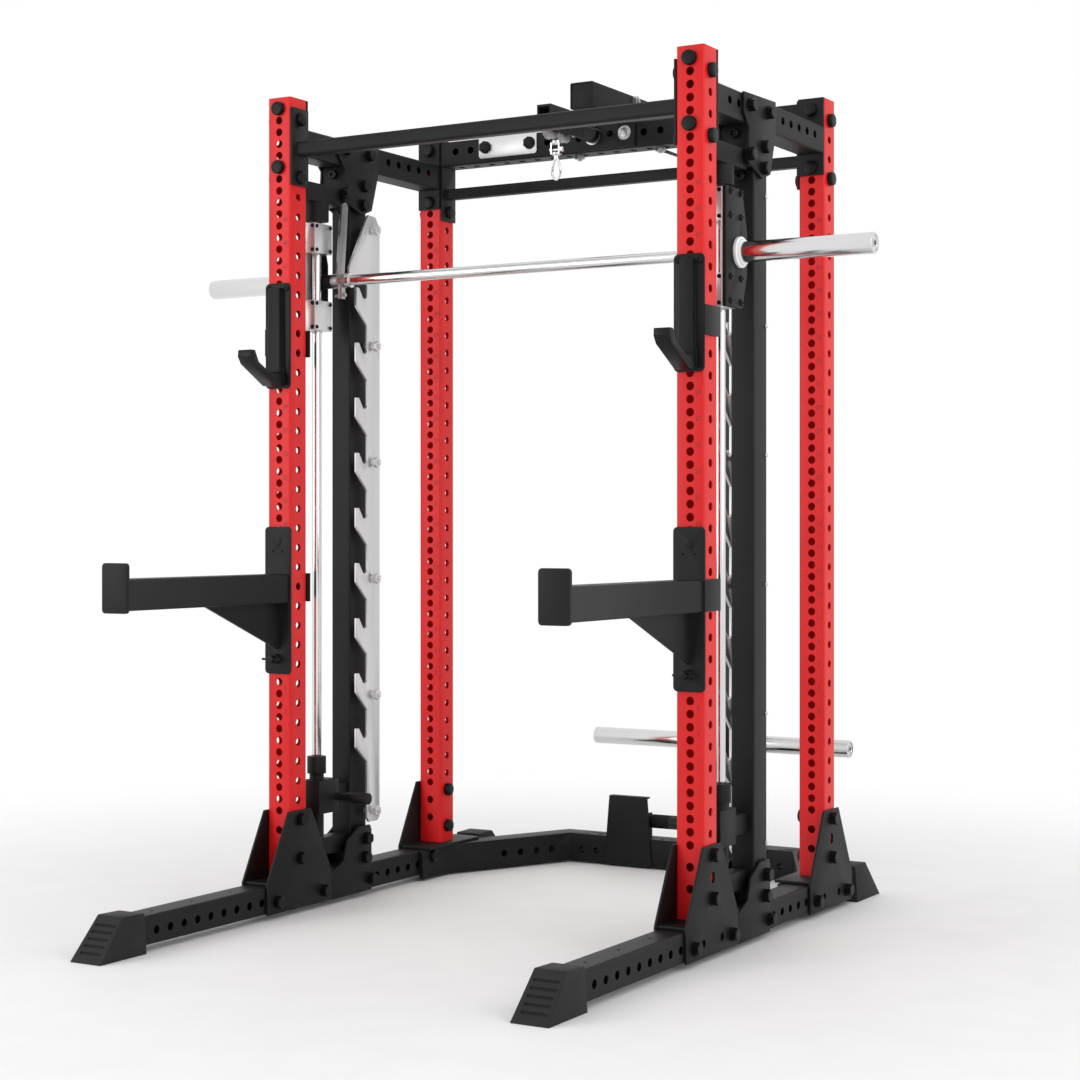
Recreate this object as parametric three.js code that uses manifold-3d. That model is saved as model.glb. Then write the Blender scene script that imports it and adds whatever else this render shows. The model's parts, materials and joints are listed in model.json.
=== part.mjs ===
// Power cage with a Smith bar, J-cups, spotter arms and a plate-loaded lat tower.
// Millimetres, +Z up, +X to the user's right, -Y towards the user. The plan origin is moved
// by ORIGIN_SHIFT_Y at the end so that it sits under the middle of the whole footprint.
import * as THREE from "three";
import { mergeVertices } from "three/addons/utils/BufferGeometryUtils.js";
import Module from "manifold-3d";

const wasm = await Module();
wasm.setup();

// ---- driving dimensions ----
const GAP = 0.3;
const TUBE = 70;
const WALL = 3;
const PLATE = 6;
const UPRIGHT_X = 586;
const UPRIGHT_Y = 352.5;
const UPRIGHT_TOP = 2094;
const RAIL_BOTTOM = 16;
const RAIL_TOP = RAIL_BOTTOM + TUBE;
const DECK_TOP = RAIL_TOP + GAP + 8;
const RAIL_FRONT = -951;
const RAIL_REAR = 520;
const FOOT_LENGTH = 159;
const FOOT_WIDTH = 91;
const FOOT_TOP_WIDTH = 77;
const FOOT_HEIGHT = 96;
const HOLE_TOP_Z = 2035;
const HOLE_PITCH = 30;
const HOLE_R = 9.5;
const PEG_R = 9;
const BEAM_Z = 1985;
const FLANGE_BOTTOM = 1896;
const PULLUP_Z = 1962;
const PULLUP_SIZE = 38;
const REAR_BEAM_BOTTOM = 2015;
const REAR_BEAM_TOP = 2085;
const LOWER_BAR_Z = 1940;
const LOWER_BAR_SIZE = 30;
const REAR_BASE_BOTTOM = 6;
const ROD_Y = -226;
const ROD_R = 12.5;
const ROD_BOTTOM = 140;
const ROD_TOP = 1865;
const COLUMN = { x0: 560, x1: 620, y0: -112, y1: -36, top: 1904.5 };
const BAR_Y = -190;
const BAR_Z = 1640;
const BAR_R = 14;
const SLEEVE_R = 25;
const BAR_HALF = 957.5;
const COLLAR_END = 632;
const CATCH_X0 = 534;
const CATCH_X1 = 542;
const CATCH_PITCH = 147;
const CATCH_TOP_TIP = 1631;
const CATCH_SLOTS = 9;
const HOOK_LEAN = THREE.MathUtils.degToRad(6);
const HOOK_LENGTH = 205;
const CUP_PEG_HOLE = 15;
const ARM_PEG_HOLE = 36;
const ARM_PIN_HOLE = 46;
const LAT_BEAM_BOTTOM = 2100;
const LAT_BEAM_FRONT = 155;
const LAT_BEAM_REAR = 1060;
const HEAD_FRONT = -45;
const HEAD_TOP = 2077;
const MAST_Y = 1000;
const PULLEY_Z = 2025;
const PULLEY_RIM_R = 33;
const PULLEY_GROOVE_R = 30.5;
const CABLE_R = 2.5;
const CABLE_WRAP_R = 33.3;
const CABLE_Z = PULLEY_Z + CABLE_WRAP_R;
const CABLE_HOLE_R = 9;
const LAT_DROP_Y = 20;
const SNAP_HOOK_TOP = 1995;
const MAIN_PULLEY_Y = LAT_DROP_Y + CABLE_WRAP_R;
const GUIDE_PULLEY_Y = LAT_DROP_Y - CABLE_WRAP_R;
const TOWER_PULLEY_Y = 915;
const TOWER_DROP_Y = TOWER_PULLEY_Y + CABLE_WRAP_R;
const CARRIAGE_Z0 = 290;
const CARRIAGE_Z1 = 410;
const SLEEVE_Z = 350;
const SLEEVE_TIP_X = 417;
const FOOTPLATE_X = 161;
const FOOTPLATE_TOP = 207;
const ROLLER_HALF = 112;
const ORIGIN_SHIFT_Y = 25;

// ---- materials ----
function material(color, roughness, metalness) {
  return new THREE.MeshStandardMaterial({ color, roughness, metalness });
}

const red = material(0xdc2424, 0.35, 0.1);
const black = material(0x1b1b1c, 0.55, 0.2);
const chrome = material(0xd8d9db, 0.12, 1.0);
const steel = material(0xcfcfcc, 0.4, 0.6);
const rubber = material(0x141414, 0.85, 0.0);
const whitePlastic = material(0xf0f0ee, 0.4, 0.0);
const cableBlack = material(0x101011, 0.6, 0.0);

const group = new THREE.Group();
group.name = "power_cage";

// ---- solids ----
function solid(geometry) {
  const bare = geometry.index ? geometry.toNonIndexed() : geometry.clone();
  bare.deleteAttribute("normal");
  bare.deleteAttribute("uv");
  const merged = mergeVertices(bare, 1e-4);
  return new wasm.Manifold(
    new wasm.Mesh({
      numProp: 3,
      vertProperties: new Float32Array(merged.attributes.position.array),
      triVerts: new Uint32Array(merged.index.array),
    })
  );
}

function join(parts) {
  return parts.reduce((whole, part) => whole.add(part));
}

function cut(body, cutters) {
  return cutters.reduce((left, cutter) => left.subtract(cutter), body);
}

function add(name, look, body) {
  const mesh = body.getMesh();
  const geometry = new THREE.BufferGeometry();
  geometry.setAttribute("position", new THREE.BufferAttribute(new Float32Array(mesh.vertProperties), 3));
  geometry.setIndex(new THREE.BufferAttribute(new Uint32Array(mesh.triVerts), 1));
  geometry.translate(0, ORIGIN_SHIFT_Y, 0);
  geometry.computeVertexNormals();
  const node = new THREE.Mesh(geometry, look);
  node.name = name;
  group.add(node);
}

function box([x0, x1], [y0, y1], [z0, z1]) {
  const shape = new THREE.BoxGeometry(x1 - x0, y1 - y0, z1 - z0);
  shape.translate((x0 + x1) / 2, (y0 + y1) / 2, (z0 + z1) / 2);
  return solid(shape);
}

// Turns a shape drawn in two axes and extruded along the third into row axes.
const AXES = {
  x: new THREE.Matrix4().set(0, 0, 1, 0, 1, 0, 0, 0, 0, 1, 0, 0, 0, 0, 0, 1),
  y: new THREE.Matrix4().set(1, 0, 0, 0, 0, 0, -1, 0, 0, 1, 0, 0, 0, 0, 0, 1),
  z: new THREE.Matrix4(),
};

function extrude(axis, shape, [from, to], curveSegments = 3) {
  const geometry = new THREE.ExtrudeGeometry(shape, {
    depth: to - from,
    bevelEnabled: false,
    curveSegments,
  });
  geometry.translate(0, 0, axis === "y" ? -to : from);
  geometry.applyMatrix4(AXES[axis]);
  return solid(geometry);
}

// Outline points are (y, z) for axis x, (x, z) for axis y and (x, y) for axis z.
function plate(axis, outline, span) {
  return extrude(axis, new THREE.Shape(outline.map(([a, b]) => new THREE.Vector2(a, b))), span);
}

function roundedRect(target, a, b, width, height, radius) {
  const x = a - width / 2;
  const y = b - height / 2;
  target.moveTo(x + radius, y);
  target.lineTo(x + width - radius, y);
  target.absarc(x + width - radius, y + radius, radius, -Math.PI / 2, 0);
  target.lineTo(x + width, y + height - radius);
  target.absarc(x + width - radius, y + height - radius, radius, 0, Math.PI / 2);
  target.lineTo(x + radius, y + height);
  target.absarc(x + radius, y + height - radius, radius, Math.PI / 2, Math.PI);
  target.lineTo(x, y + radius);
  target.absarc(x + radius, y + radius, radius, Math.PI, Math.PI * 1.5);
  return target;
}

function boxTube(axis, [a, b], [width, height], span) {
  const shape = roundedRect(new THREE.Shape(), a, b, width, height, 5);
  shape.holes.push(roundedRect(new THREE.Path(), a, b, width - 2 * WALL, height - 2 * WALL, 2));
  return extrude(axis, shape, span);
}

function cylinder(axis, [a, b], radius, [from, to], segments = 24) {
  const geometry = new THREE.CylinderGeometry(radius, radius, to - from, segments);
  if (axis === "z") geometry.rotateX(Math.PI / 2);
  if (axis === "x") geometry.rotateZ(Math.PI / 2);
  const middle = (from + to) / 2;
  const place = { x: [middle, a, b], y: [a, middle, b], z: [a, b, middle] }[axis];
  geometry.translate(...place);
  return solid(geometry);
}

// A round bar between two points that aren't lined up with an axis.
function strut(start, end, radius) {
  const from = new THREE.Vector3(...start);
  const along = new THREE.Vector3(...end).sub(from);
  const geometry = new THREE.CylinderGeometry(radius, radius, along.length(), 12);
  geometry.translate(0, along.length() / 2, 0);
  const up = new THREE.Vector3(0, 1, 0);
  geometry.applyQuaternion(new THREE.Quaternion().setFromUnitVectors(up, along.clone().normalize()));
  geometry.translate(...start);
  return solid(geometry);
}

function mirrorX(body) {
  return body.mirror([1, 0, 0]);
}

function addPair(name, look, rightBody) {
  add(`${name}_right`, look, rightBody);
  add(`${name}_left`, look, mirrorX(rightBody));
}

function holeZ(index) {
  return HOLE_TOP_Z - HOLE_PITCH * index;
}

const FRONT_FACE = -UPRIGHT_Y - TUBE / 2;
const HALF = TUBE / 2;

// ---- uprights: only the holes that pegs use are cut here ----
function upright(y, pegHoles) {
  const tube = boxTube("z", [UPRIGHT_X, y], [TUBE, TUBE], [DECK_TOP + GAP, UPRIGHT_TOP]);
  const cutters = pegHoles.map((index) =>
    cylinder("y", [UPRIGHT_X, holeZ(index)], HOLE_R, [y - HALF - 2, y - HALF + WALL + 2])
  );
  return cut(tube, cutters);
}

addPair("upright_front", red, upright(-UPRIGHT_Y, [CUP_PEG_HOLE, ARM_PEG_HOLE, ARM_PIN_HOLE]));
addPair("upright_rear", red, upright(UPRIGHT_Y, []));

// ---- base rails and their wedge feet ----
addPair(
  "base_rail",
  black,
  boxTube("y", [UPRIGHT_X, RAIL_BOTTOM + HALF], [TUBE, TUBE], [RAIL_FRONT + GAP, RAIL_REAR - GAP])
);

// A foot is drawn pointing to -Y from its heel at y = 0.
function foot(heelY, direction) {
  const outline = [
    [0, 0],
    [-FOOT_LENGTH, 0],
    [-FOOT_LENGTH + 86, FOOT_HEIGHT],
    [0, FOOT_HEIGHT - 2],
  ];
  const placed = outline.map(([y, z]) => [heelY + direction * y, z]);
  const profile = plate("x", placed, [UPRIGHT_X - FOOT_WIDTH / 2, UPRIGHT_X + FOOT_WIDTH / 2]);
  const frontView = [
    [UPRIGHT_X - FOOT_WIDTH / 2, 0],
    [UPRIGHT_X + FOOT_WIDTH / 2, 0],
    [UPRIGHT_X + FOOT_TOP_WIDTH / 2, FOOT_HEIGHT],
    [UPRIGHT_X - FOOT_TOP_WIDTH / 2, FOOT_HEIGHT],
  ];
  const ends = [heelY, heelY - direction * FOOT_LENGTH].sort((a, b) => a - b);
  const body = profile.intersect(plate("y", frontView, [ends[0] - 1, ends[1] + 1]));
  const grooves = [];
  for (let step = 0; step < 5; step += 1) {
    const z = 20 + step * 14;
    const y = heelY + direction * (-FOOT_LENGTH + (86 * z) / FOOT_HEIGHT);
    grooves.push(box([UPRIGHT_X - 31, UPRIGHT_X + 31], [y - 4, y + 4], [z - 2.5, z + 2.5]));
  }
  return cut(body, grooves);
}

addPair("foot_front", rubber, foot(RAIL_FRONT, 1));
addPair("foot_rear", rubber, foot(RAIL_REAR, -1));

// ---- brackets that clamp each upright to its rail ----
function uprightBase(y, hasInnerPlate) {
  const outline = [
    [y - 137, 14],
    [y + 137, 14],
    [y + 137, 92],
    [y + 48, 265],
    [y - 48, 265],
    [y - 137, 92],
  ];
  const outer = plate("x", outline, [UPRIGHT_X + HALF + GAP, UPRIGHT_X + HALF + GAP + PLATE]);
  const innerReach = hasInnerPlate ? 1 : 26;
  const deck = box(
    [UPRIGHT_X - HALF - GAP - innerReach, UPRIGHT_X + HALF + GAP + 1],
    [y - 130, y + 130],
    [RAIL_TOP + GAP, DECK_TOP]
  );
  if (!hasInnerPlate) return join([outer, deck]);
  const inner = plate("x", outline, [UPRIGHT_X - HALF - GAP - PLATE, UPRIGHT_X - HALF - GAP]);
  return join([outer, inner, deck]);
}

addPair("upright_base_front", black, uprightBase(-UPRIGHT_Y, true));
addPair("upright_base_rear", black, uprightBase(UPRIGHT_Y, false));

// ---- top beams ----
function sideBeam() {
  const inner = UPRIGHT_Y - HALF - GAP;
  const tube = boxTube("y", [UPRIGHT_X, BEAM_Z], [TUBE, TUBE], [-inner + 3, inner - 3]);
  const flanges = [-1, 1].map((side) => {
    const span = side < 0 ? [-inner, -inner + PLATE] : [inner - PLATE, inner];
    return box([UPRIGHT_X - HALF, UPRIGHT_X + HALF], span, [FLANGE_BOTTOM, UPRIGHT_TOP]);
  });
  const passage = cylinder("y", [UPRIGHT_X, BEAM_Z], 18, [-inner - 5, inner + 5]);
  return cut(join([tube, ...flanges]), [passage]);
}

addPair("side_beam", black, sideBeam());

function crossEndPlates(y, [z0, z1]) {
  const outerX = UPRIGHT_X - HALF - GAP;
  const right = box([outerX - PLATE, outerX], [y - HALF, y + HALF], [z0, z1]);
  return [right, mirrorX(right)];
}

const CROSS_HALF = UPRIGHT_X - HALF - GAP - 2;
const pullupShape = roundedRect(new THREE.Shape(), -UPRIGHT_Y, PULLUP_Z, PULLUP_SIZE, PULLUP_SIZE, 10);
add(
  "pull_up_bar",
  black,
  join([
    extrude("x", pullupShape, [-CROSS_HALF, CROSS_HALF], 5),
    ...crossEndPlates(-UPRIGHT_Y, [1869, 2067]),
  ])
);

function cablePassage() {
  return cylinder("y", [0, CABLE_Z], CABLE_HOLE_R, [UPRIGHT_Y - HALF - 20, UPRIGHT_Y + HALF + 20]);
}

function rearCrossFrame() {
  const height = REAR_BEAM_TOP - REAR_BEAM_BOTTOM;
  const middle = (REAR_BEAM_TOP + REAR_BEAM_BOTTOM) / 2;
  const tube = boxTube("x", [UPRIGHT_Y, middle], [TUBE, height], [-CROSS_HALF, CROSS_HALF]);
  const size = LOWER_BAR_SIZE;
  const lowerShape = roundedRect(new THREE.Shape(), UPRIGHT_Y, LOWER_BAR_Z, size, size, 5);
  const lowerBar = extrude("x", lowerShape, [-CROSS_HALF, CROSS_HALF]);
  const passage = cylinder("x", [UPRIGHT_Y, middle], 18, [-CROSS_HALF - 9, CROSS_HALF + 9]);
  const body = join([tube, ...crossEndPlates(UPRIGHT_Y, [1864, 2091])]);
  const beam = cut(body, [passage, cablePassage()]);
  return beam.add(lowerBar);
}

add("rear_cross_frame", black, rearCrossFrame());

// ---- Smith columns, their brackets and guide rods ----
const PLATE_OUT = [UPRIGHT_X + HALF + GAP, UPRIGHT_X + HALF + GAP + PLATE];
const PLATE_IN = [UPRIGHT_X - HALF - GAP - PLATE, UPRIGHT_X - HALF - GAP];

function smithTopBracket() {
  const outline = [
    [-183, 2021],
    [-183, 1972],
    [-153, 1940],
    [-159, 1858],
    [-76, 1829],
    [-32, 1845],
    [0, 1947],
    [0, 2026],
  ];
  const bridge = box([PLATE_IN[0] + 2, PLATE_OUT[1] - 2], [-150, -20], [COLUMN.top + GAP, 1950 - GAP]);
  const clampBlock = box([PLATE_IN[0] + 2, PLATE_OUT[1] - 2], [-150, COLUMN.y0 - GAP], [1850, 1906]);
  const arm = box([UPRIGHT_X - 28, UPRIGHT_X + 28], [-311, -140], [1843, 1890]);
  const bumper = cylinder("z", [UPRIGHT_X, ROD_Y], 32, [1795, 1844], 32);
  const bore = cylinder("z", [UPRIGHT_X, ROD_Y], ROD_R + GAP, [1790, ROD_TOP + GAP]);
  const plates = [plate("x", outline, PLATE_OUT), plate("x", outline, PLATE_IN)];
  return cut(join([...plates, bridge, clampBlock, arm, bumper]), [bore]);
}

addPair("smith_top_bracket", black, smithTopBracket());

function smithColumn() {
  const width = COLUMN.x1 - COLUMN.x0;
  const depth = COLUMN.y1 - COLUMN.y0;
  const middle = [(COLUMN.x0 + COLUMN.x1) / 2, (COLUMN.y0 + COLUMN.y1) / 2];
  return boxTube("z", middle, [width, depth], [DECK_TOP + GAP, COLUMN.top]);
}

addPair("smith_column", black, smithColumn());

function smithBaseBracket() {
  const front = -UPRIGHT_Y + 137 + GAP;
  const outline = [
    [front, 14],
    [-33, 14],
    [-33, 178],
    [-40, 190],
    [-92, 190],
    [-146, 156],
    [-161, 108],
    [front, 85],
  ];
  const deck = box([PLATE_IN[0] + 5, PLATE_OUT[0] + 1], [front + 5, -33], [RAIL_TOP + GAP, DECK_TOP]);
  return join([plate("x", outline, PLATE_OUT), plate("x", outline, PLATE_IN), deck]);
}

addPair("smith_base_bracket", black, smithBaseBracket());

function rodFootHolder() {
  const arm = box([UPRIGHT_X - 20, UPRIGHT_X + 20], [ROD_Y - 22, COLUMN.y0 - GAP], [130, 175]);
  const sleeve = cylinder("z", [UPRIGHT_X, ROD_Y], 19, [170, 346]);
  const bumper = cylinder("z", [UPRIGHT_X, ROD_Y], 25, [345, 390]);
  const pegBlock = box([UPRIGHT_X - 40, UPRIGHT_X + 20], [-268, -182], [243, 330]);
  const blockArm = box([UPRIGHT_X - 18, UPRIGHT_X + 18], [-183, COLUMN.y0 - GAP], [262, 310]);
  const peg = cylinder("x", [-196, 283], 10, [440, UPRIGHT_X - 39]);
  const pegSleeve = cylinder("x", [-196, 283], 15, [440, 506]);
  const bore = cylinder("z", [UPRIGHT_X, ROD_Y], ROD_R + GAP, [ROD_BOTTOM - GAP, 400]);
  return cut(join([arm, sleeve, bumper, pegBlock, blockArm, peg, pegSleeve]), [bore]);
}

addPair("rod_foot_holder", black, rodFootHolder());
addPair("guide_rod", chrome, cylinder("z", [UPRIGHT_X, ROD_Y], ROD_R, [ROD_BOTTOM, ROD_TOP], 32));

// ---- Smith carriage ----
function bearingBlocks() {
  const x = [UPRIGHT_X - 22, UPRIGHT_X + 22];
  const y = [ROD_Y - 38, ROD_Y + 38];
  const upper = box(x, y, [1710, 1788]);
  const lower = box(x, y, [1508, 1586]);
  const spine = box([UPRIGHT_X + 18, UPRIGHT_X + 22], [ROD_Y - 38, ROD_Y], [1580, 1716]);
  const bore = cylinder("z", [UPRIGHT_X, ROD_Y], ROD_R + GAP, [1500, 1800], 32);
  return cut(join([upper, lower, spine]), [bore]);
}

addPair("bearing_blocks", steel, bearingBlocks());

function carriagePlate() {
  const outline = [
    [-262, 1508],
    [-170, 1508],
    [-143, 1590],
    [-143, 1690],
    [-170, 1790],
    [-262, 1790],
  ];
  const plateX = [UPRIGHT_X + 22 + GAP, UPRIGHT_X + 31];
  const bushing = cylinder("x", [BAR_Y, BAR_Z], 18.5, [558, plateX[0] + 2]);
  const bore = cylinder("x", [BAR_Y, BAR_Z], BAR_R + GAP, [550, 640]);
  return cut(join([plate("x", outline, plateX), bushing]), [bore]);
}

addPair("carriage_plate", black, carriagePlate());

function barCollar() {
  const start = UPRIGHT_X + 31 + GAP;
  const flange = cylinder("x", [BAR_Y, BAR_Z], 37, [start, start + 9], 32);
  const neck = cylinder("x", [BAR_Y, BAR_Z], 31, [start + 8, COLLAR_END], 32);
  const bore = cylinder("x", [BAR_Y, BAR_Z], BAR_R + GAP, [600, 660]);
  return cut(join([flange, neck]), [bore]);
}

addPair("bar_collar", whitePlastic, barCollar());

function smithBar() {
  const shaft = cylinder("x", [BAR_Y, BAR_Z], BAR_R, [-BAR_HALF + 2, BAR_HALF - 2], 32);
  const sleeve = cylinder("x", [BAR_Y, BAR_Z], SLEEVE_R, [COLLAR_END + GAP, BAR_HALF], 32);
  return join([shaft, sleeve, mirrorX(sleeve)]);
}

add("smith_bar", chrome, smithBar());

// The lever leans back from vertical by HOOK_LEAN and ends in a round nose.
function hook() {
  const along = [Math.sin(HOOK_LEAN), Math.cos(HOOK_LEAN)];
  const across = [along[1], -along[0]];
  const point = (distance, offset) => [
    BAR_Y + along[0] * distance + across[0] * offset,
    BAR_Z + along[1] * distance + across[1] * offset,
  ];
  const noseAt = HOOK_LENGTH - 8;
  const outline = [point(0, -15), point(0, 15), point(noseAt, 13), point(noseAt, -13)];
  const lever = plate("x", outline, [CATCH_X0, CATCH_X1]);
  const nose = cylinder("x", point(noseAt, 0), 13, [CATCH_X0, CATCH_X1]);
  const hub = cylinder("x", [BAR_Y, BAR_Z], 19, [518, 556]);
  const clampLug = box([522, 532], [BAR_Y - 14, BAR_Y + 4], [BAR_Z - 48, BAR_Z - 10]);
  const clampBolt = cylinder("x", [BAR_Y - 5, BAR_Z - 38], 5, [514, 548], 12);
  const bore = cylinder("x", [BAR_Y, BAR_Z], BAR_R + GAP, [500, 570], 32);
  return cut(join([lever, nose, hub, clampLug, clampBolt]), [bore]);
}

addPair("bar_hook", chrome, hook());

// ---- toothed catch plates beside the columns ----
function catchOutline() {
  const wall = -68;
  const outline = [
    [-10, 1800],
    [-30, 1828],
    [-62, 1830],
    [-150, 1680],
    [-150, 1668],
    [-118, 1652],
    [-84, 1652],
    [wall, 1640],
  ];
  for (let slot = 0; slot < CATCH_SLOTS; slot += 1) {
    const tip = CATCH_TOP_TIP - CATCH_PITCH * slot;
    const last = slot === CATCH_SLOTS - 1;
    outline.push(
      [wall, tip - 19],
      [wall - 5, tip - 26],
      [wall - 12, tip - 29],
      [wall - 20, tip - 26],
      [wall - 26, tip - 17],
      [-106, tip],
      [-117, tip],
      [-117, tip - 50],
      [wall, tip - (last ? 92 : 100)]
    );
  }
  outline.push([wall, 212], [-58, 200], [-20, 200], [-10, 212]);
  return outline;
}

function catchPlate() {
  const body = plate("x", catchOutline(), [CATCH_X0, CATCH_X1]);
  const studs = [1790, 1478, 1166, 854, 542, 230].map((z) =>
    cylinder("x", [-44, z], 9, [CATCH_X0 - 9, COLUMN.x0 - GAP], 12)
  );
  return join([body, ...studs]);
}

addPair("catch_plate", steel, catchPlate());

// ---- hooks for the loose bar and the spotter arms, hung on the front uprights ----
const SADDLE_Y = [FRONT_FACE - GAP - PLATE, FRONT_FACE - GAP];
const REAR_FACE = -UPRIGHT_Y + HALF;

function sideFlap([z0, z1]) {
  const x = [UPRIGHT_X + HALF + GAP, UPRIGHT_X + HALF + GAP + PLATE];
  const side = box(x, [SADDLE_Y[0], REAR_FACE + GAP + PLATE], [z0, z1]);
  const rearTab = box([UPRIGHT_X - HALF - 8, x[1]], [REAR_FACE + GAP, REAR_FACE + GAP + PLATE], [z0, z1]);
  return [side, rearTab];
}

function jCup() {
  const backPlate = box([UPRIGHT_X - 39, UPRIGHT_X + 39], SADDLE_Y, [1347, 1617]);
  const liner = box([UPRIGHT_X - 17, UPRIGHT_X + 17], [SADDLE_Y[0] - 16, SADDLE_Y[0] + 1], [1380, 1604]);
  const cradle = plate(
    "x",
    [
      [SADDLE_Y[0] + 1, 1352],
      [SADDLE_Y[0] + 1, 1402],
      [-412, 1388],
      [-446, 1382],
      [-496, 1408],
      [-512, 1437],
      [-530, 1437],
      [-532, 1420],
      [-520, 1402],
      [-430, 1352],
    ],
    [UPRIGHT_X - 20, UPRIGHT_X + 20]
  );
  const peg = cylinder("y", [UPRIGHT_X, holeZ(CUP_PEG_HOLE)], PEG_R, [SADDLE_Y[0] + 1, FRONT_FACE + 26]);
  return join([backPlate, liner, cradle, peg, ...sideFlap([1431, 1500])]);
}

addPair("j_cup", black, jCup());

function spotterArm() {
  const armTop = 872;
  const armBottom = 798;
  const middle = (armTop + armBottom) / 2;
  const backPlate = box([UPRIGHT_X - 40, UPRIGHT_X + 40], SADDLE_Y, [616, 993]);
  const tube = boxTube("y", [UPRIGHT_X, middle], [TUBE, armTop - armBottom], [-1004, SADDLE_Y[0] + 2]);
  const endCap = box([UPRIGHT_X - 37, UPRIGHT_X + 37], [-1012, -1001], [792, 909]);
  const gusset = plate(
    "x",
    [
      [-693, armBottom + 2],
      [SADDLE_Y[0] + 1, 678],
      [SADDLE_Y[0] + 1, armBottom + 2],
    ],
    [UPRIGHT_X - 3, UPRIGHT_X + 3]
  );
  const peg = cylinder("y", [UPRIGHT_X, holeZ(ARM_PEG_HOLE)], PEG_R, [SADDLE_Y[0] - 2, FRONT_FACE + 26]);
  const pinZ = holeZ(ARM_PIN_HOLE);
  const pinHousing = cylinder("y", [UPRIGHT_X, pinZ], 13, [SADDLE_Y[0] - 20, SADDLE_Y[0] + 1]);
  const pinBore = cylinder("y", [UPRIGHT_X, pinZ], 6 + GAP, [SADDLE_Y[0] - 30, SADDLE_Y[1] + 5]);
  const drain = cylinder("z", [UPRIGHT_X + 5, -900], 8, [armBottom - 5, armBottom + 10]);
  const body = join([backPlate, tube, endCap, gusset, peg, pinHousing, ...sideFlap([800, 873])]);
  return cut(body, [pinBore, drain]);
}

addPair("spotter_arm", black, spotterArm());

function spotterPin() {
  const pinZ = holeZ(ARM_PIN_HOLE);
  const shaft = cylinder("y", [UPRIGHT_X, pinZ], 6, [-428, FRONT_FACE + 22]);
  const knob = cylinder("y", [UPRIGHT_X, pinZ], 10, [-429, -416]);
  const handle = cylinder("x", [-422, pinZ], 3, [UPRIGHT_X - 27, UPRIGHT_X + 27], 12);
  return join([shaft, knob, handle]);
}

addPair("spotter_pin", black, spotterPin());

// ---- rear base frame that carries the lat tower ----
function rearBase() {
  const wallX = UPRIGHT_X - HALF - GAP;
  const blockX = wallX - 12;
  const outline = [
    [wallX, 209],
    [wallX, 480],
    [400, 795],
    [-400, 795],
    [-wallX, 480],
    [-wallX, 209],
    [-blockX, 209],
    [-blockX, 345],
    [-356, 725],
    [356, 725],
    [blockX, 345],
    [blockX, 209],
  ];
  const spine = box([-35, 35], [790, 1050], [REAR_BASE_BOTTOM, RAIL_TOP]);
  const parts = [plate("z", outline, [REAR_BASE_BOTTOM, RAIL_TOP]), spine];
  for (const side of [-1, 1]) {
    const x = side * FOOTPLATE_X;
    const face = [
      [x - 78, REAR_BASE_BOTTOM],
      [x + 78, REAR_BASE_BOTTOM],
      [x + 61, FOOTPLATE_TOP],
      [x - 61, FOOTPLATE_TOP],
    ];
    parts.push(
      plate("y", face, [718.5, 726]),
      box([x - 61, x + 61], [719, 742], [FOOTPLATE_TOP - 5, FOOTPLATE_TOP])
    );
    const earX = [side * (ROLLER_HALF + 2), side * (ROLLER_HALF + 8)].sort((a, b) => a - b);
    parts.push(box(earX, [744, 784], [RAIL_TOP - 2, 156]));
  }
  const axle = cylinder("x", [764, 134], 5, [-ROLLER_HALF - 7, ROLLER_HALF + 7], 16);
  return join([...parts, axle]);
}

add("rear_base", black, rearBase());

function baseRoller() {
  const foam = cylinder("x", [764, 134], 20, [-ROLLER_HALF, ROLLER_HALF], 32);
  const bore = cylinder("x", [764, 134], 5 + GAP, [-ROLLER_HALF - 10, ROLLER_HALF + 10], 16);
  return cut(foam, [bore]);
}

add("base_roller", rubber, baseRoller());

// ---- lat tower ----
function mast() {
  const tube = boxTube("z", [0, MAST_Y], [TUBE, TUBE], [DECK_TOP - 2, LAT_BEAM_BOTTOM - GAP]);
  const deck = box([-60, 60], [940, 1050], [RAIL_TOP + GAP, DECK_TOP]);
  const bore = box([-20, 20], [MAST_Y - 20, MAST_Y + 20], [RAIL_TOP - 5, DECK_TOP + 5]);
  const stop = box([-55, 55], [946, 1054], [278, CARRIAGE_Z0 - GAP]);
  const stopBore = box([-33, 33], [MAST_Y - 33, MAST_Y + 33], [270, 300]);
  const stay = strut([142, UPRIGHT_Y, REAR_BEAM_BOTTOM - 7], [28, MAST_Y - 30, 2045], 3);
  return join([tube, cut(deck, [bore]), cut(stop, [stopBore]), stay]);
}

add("tower_mast", black, mast());

function pulleyCheeks([y0, y1], top) {
  const right = box([16, 20], [y0, y1], [PULLEY_Z - 12, top]);
  return [right, mirrorX(right)];
}

function pulleyAxle(y) {
  return cylinder("x", [y, PULLEY_Z], 6, [-19, 19], 16);
}

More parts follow.
